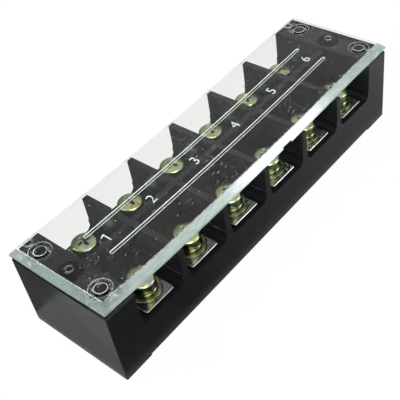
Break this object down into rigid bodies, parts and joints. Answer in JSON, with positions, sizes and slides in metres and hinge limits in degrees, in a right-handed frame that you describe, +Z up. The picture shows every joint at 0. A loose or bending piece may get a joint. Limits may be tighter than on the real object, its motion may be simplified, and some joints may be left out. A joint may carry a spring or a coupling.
{
  "type": "barrier terminal strip",
  "caption": "Black barrier terminal strip with two rows of washer-head screws on flat plates, open cells on both sides and a clear bevelled cover on four pegs.",
  "frame": {"origin": "middle of the footprint, on the surface that the strip stands on", "axes": "+X along the row of poles, -Y towards the front, +Z up"},
  "size_m": [0.1494, 0.042, 0.0342],
  "materials": {
    "moulding": "satin black moulding",
    "clear_cover": "clear, slightly green",
    "plate": "plated, satin",
    "screw": "yellow-green zinc plating",
    "spring_washer": "yellow-green zinc plating",
    "flat_washer": "yellow zinc plating"
  },
  "bodies": {
    "base": {"base": "moulding", "terminal_plate_1": "plate", "terminal_plate_2": "plate", "terminal_plate_3": "plate", "terminal_plate_4": "plate", "terminal_plate_5": "plate", "terminal_plate_6": "plate"},
    "cover": {"cover": "clear_cover"},
    "washers_front_1": {"flat_washer_front_1": "flat_washer", "spring_washer_front_1": "spring_washer"},
    "screw_front_1": {"screw_front_1": "screw"},
    "washers_front_2": {"flat_washer_front_2": "flat_washer", "spring_washer_front_2": "spring_washer"},
    "screw_front_2": {"screw_front_2": "screw"},
    "washers_front_3": {"flat_washer_front_3": "flat_washer", "spring_washer_front_3": "spring_washer"},
    "screw_front_3": {"screw_front_3": "screw"},
    "washers_front_4": {"flat_washer_front_4": "flat_washer", "spring_washer_front_4": "spring_washer"},
    "screw_front_4": {"screw_front_4": "screw"},
    "washers_front_5": {"flat_washer_front_5": "flat_washer", "spring_washer_front_5": "spring_washer"},
    "screw_front_5": {"screw_front_5": "screw"},
    "washers_front_6": {"flat_washer_front_6": "flat_washer", "spring_washer_front_6": "spring_washer"},
    "screw_front_6": {"screw_front_6": "screw"},
    "washers_rear_1": {"flat_washer_rear_1": "flat_washer", "spring_washer_rear_1": "spring_washer"},
    "screw_rear_1": {"screw_rear_1": "screw"},
    "washers_rear_2": {"flat_washer_rear_2": "flat_washer", "spring_washer_rear_2": "spring_washer"},
    "screw_rear_2": {"screw_rear_2": "screw"},
    "washers_rear_3": {"flat_washer_rear_3": "flat_washer", "spring_washer_rear_3": "spring_washer"},
    "screw_rear_3": {"screw_rear_3": "screw"},
    "washers_rear_4": {"flat_washer_rear_4": "flat_washer", "spring_washer_rear_4": "spring_washer"},
    "screw_rear_4": {"screw_rear_4": "screw"},
    "washers_rear_5": {"flat_washer_rear_5": "flat_washer", "spring_washer_rear_5": "spring_washer"},
    "screw_rear_5": {"screw_rear_5": "screw"},
    "washers_rear_6": {"flat_washer_rear_6": "flat_washer", "spring_washer_rear_6": "spring_washer"},
    "screw_rear_6": {"screw_rear_6": "screw"}
  },
  "joints": [
    {"name": "cover_lift", "type": "slide", "parent": "base", "child": "cover", "axis": [0, 0, 1], "range_m": [0, 0.025]},
    {"name": "rise_front_1", "type": "slide", "parent": "base", "child": "washers_front_1", "axis": [0, 0, 1], "range_m": [0, 0.004]},
    {"name": "turn_front_1", "type": "hinge", "parent": "washers_front_1", "child": "screw_front_1", "pos_m": [-0.05375, -0.0124, 0], "axis": [0, 0, 1], "range_deg": [0, 1800]},
    {"name": "rise_front_2", "type": "slide", "parent": "base", "child": "washers_front_2", "axis": [0, 0, 1], "range_m": [0, 0.004]},
    {"name": "turn_front_2", "type": "hinge", "parent": "washers_front_2", "child": "screw_front_2", "pos_m": [-0.03225, -0.0124, 0], "axis": [0, 0, 1], "range_deg": [0, 1800]},
    {"name": "rise_front_3", "type": "slide", "parent": "base", "child": "washers_front_3", "axis": [0, 0, 1], "range_m": [0, 0.004]},
    {"name": "turn_front_3", "type": "hinge", "parent": "washers_front_3", "child": "screw_front_3", "pos_m": [-0.01075, -0.0124, 0], "axis": [0, 0, 1], "range_deg": [0, 1800]},
    {"name": "rise_front_4", "type": "slide", "parent": "base", "child": "washers_front_4", "axis": [0, 0, 1], "range_m": [0, 0.004]},
    {"name": "turn_front_4", "type": "hinge", "parent": "washers_front_4", "child": "screw_front_4", "pos_m": [0.01075, -0.0124, 0], "axis": [0, 0, 1], "range_deg": [0, 1800]},
    {"name": "rise_front_5", "type": "slide", "parent": "base", "child": "washers_front_5", "axis": [0, 0, 1], "range_m": [0, 0.004]},
    {"name": "turn_front_5", "type": "hinge", "parent": "washers_front_5", "child": "screw_front_5", "pos_m": [0.03225, -0.0124, 0], "axis": [0, 0, 1], "range_deg": [0, 1800]},
    {"name": "rise_front_6", "type": "slide", "parent": "base", "child": "washers_front_6", "axis": [0, 0, 1], "range_m": [0, 0.004]},
    {"name": "turn_front_6", "type": "hinge", "parent": "washers_front_6", "child": "screw_front_6", "pos_m": [0.05375, -0.0124, 0], "axis": [0, 0, 1], "range_deg": [0, 1800]},
    {"name": "rise_rear_1", "type": "slide", "parent": "base", "child": "washers_rear_1", "axis": [0, 0, 1], "range_m": [0, 0.004]},
    {"name": "turn_rear_1", "type": "hinge", "parent": "washers_rear_1", "child": "screw_rear_1", "pos_m": [-0.05375, 0.0124, 0], "axis": [0, 0, 1], "range_deg": [0, 1800]},
    {"name": "rise_rear_2", "type": "slide", "parent": "base", "child": "washers_rear_2", "axis": [0, 0, 1], "range_m": [0, 0.004]},
    {"name": "turn_rear_2", "type": "hinge", "parent": "washers_rear_2", "child": "screw_rear_2", "pos_m": [-0.03225, 0.0124, 0], "axis": [0, 0, 1], "range_deg": [0, 1800]},
    {"name": "rise_rear_3", "type": "slide", "parent": "base", "child": "washers_rear_3", "axis": [0, 0, 1], "range_m": [0, 0.004]},
    {"name": "turn_rear_3", "type": "hinge", "parent": "washers_rear_3", "child": "screw_rear_3", "pos_m": [-0.01075, 0.0124, 0], "axis": [0, 0, 1], "range_deg": [0, 1800]},
    {"name": "rise_rear_4", "type": "slide", "parent": "base", "child": "washers_rear_4", "axis": [0, 0, 1], "range_m": [0, 0.004]},
    {"name": "turn_rear_4", "type": "hinge", "parent": "washers_rear_4", "child": "screw_rear_4", "pos_m": [0.01075, 0.0124, 0], "axis": [0, 0, 1], "range_deg": [0, 1800]},
    {"name": "rise_rear_5", "type": "slide", "parent": "base", "child": "washers_rear_5", "axis": [0, 0, 1], "range_m": [0, 0.004]},
    {"name": "turn_rear_5", "type": "hinge", "parent": "washers_rear_5", "child": "screw_rear_5", "pos_m": [0.03225, 0.0124, 0], "axis": [0, 0, 1], "range_deg": [0, 1800]},
    {"name": "rise_rear_6", "type": "slide", "parent": "base", "child": "washers_rear_6", "axis": [0, 0, 1], "range_m": [0, 0.004]},
    {"name": "turn_rear_6", "type": "hinge", "parent": "washers_rear_6", "child": "screw_rear_6", "pos_m": [0.05375, 0.0124, 0], "axis": [0, 0, 1], "range_deg": [0, 1800]}
  ],
  "couplings": [
    {"joint": "turn_front_1", "follows": "rise_front_1", "rad_per_m": 7854},
    {"joint": "turn_front_2", "follows": "rise_front_2", "rad_per_m": 7854},
    {"joint": "turn_front_3", "follows": "rise_front_3", "rad_per_m": 7854},
    {"joint": "turn_front_4", "follows": "rise_front_4", "rad_per_m": 7854},
    {"joint": "turn_front_5", "follows": "rise_front_5", "rad_per_m": 7854},
    {"joint": "turn_front_6", "follows": "rise_front_6", "rad_per_m": 7854},
    {"joint": "turn_rear_1", "follows": "rise_rear_1", "rad_per_m": 7854},
    {"joint": "turn_rear_2", "follows": "rise_rear_2", "rad_per_m": 7854},
    {"joint": "turn_rear_3", "follows": "rise_rear_3", "rad_per_m": 7854},
    {"joint": "turn_rear_4", "follows": "rise_rear_4", "rad_per_m": 7854},
    {"joint": "turn_rear_5", "follows": "rise_rear_5", "rad_per_m": 7854},
    {"joint": "turn_rear_6", "follows": "rise_rear_6", "rad_per_m": 7854}
  ]
}
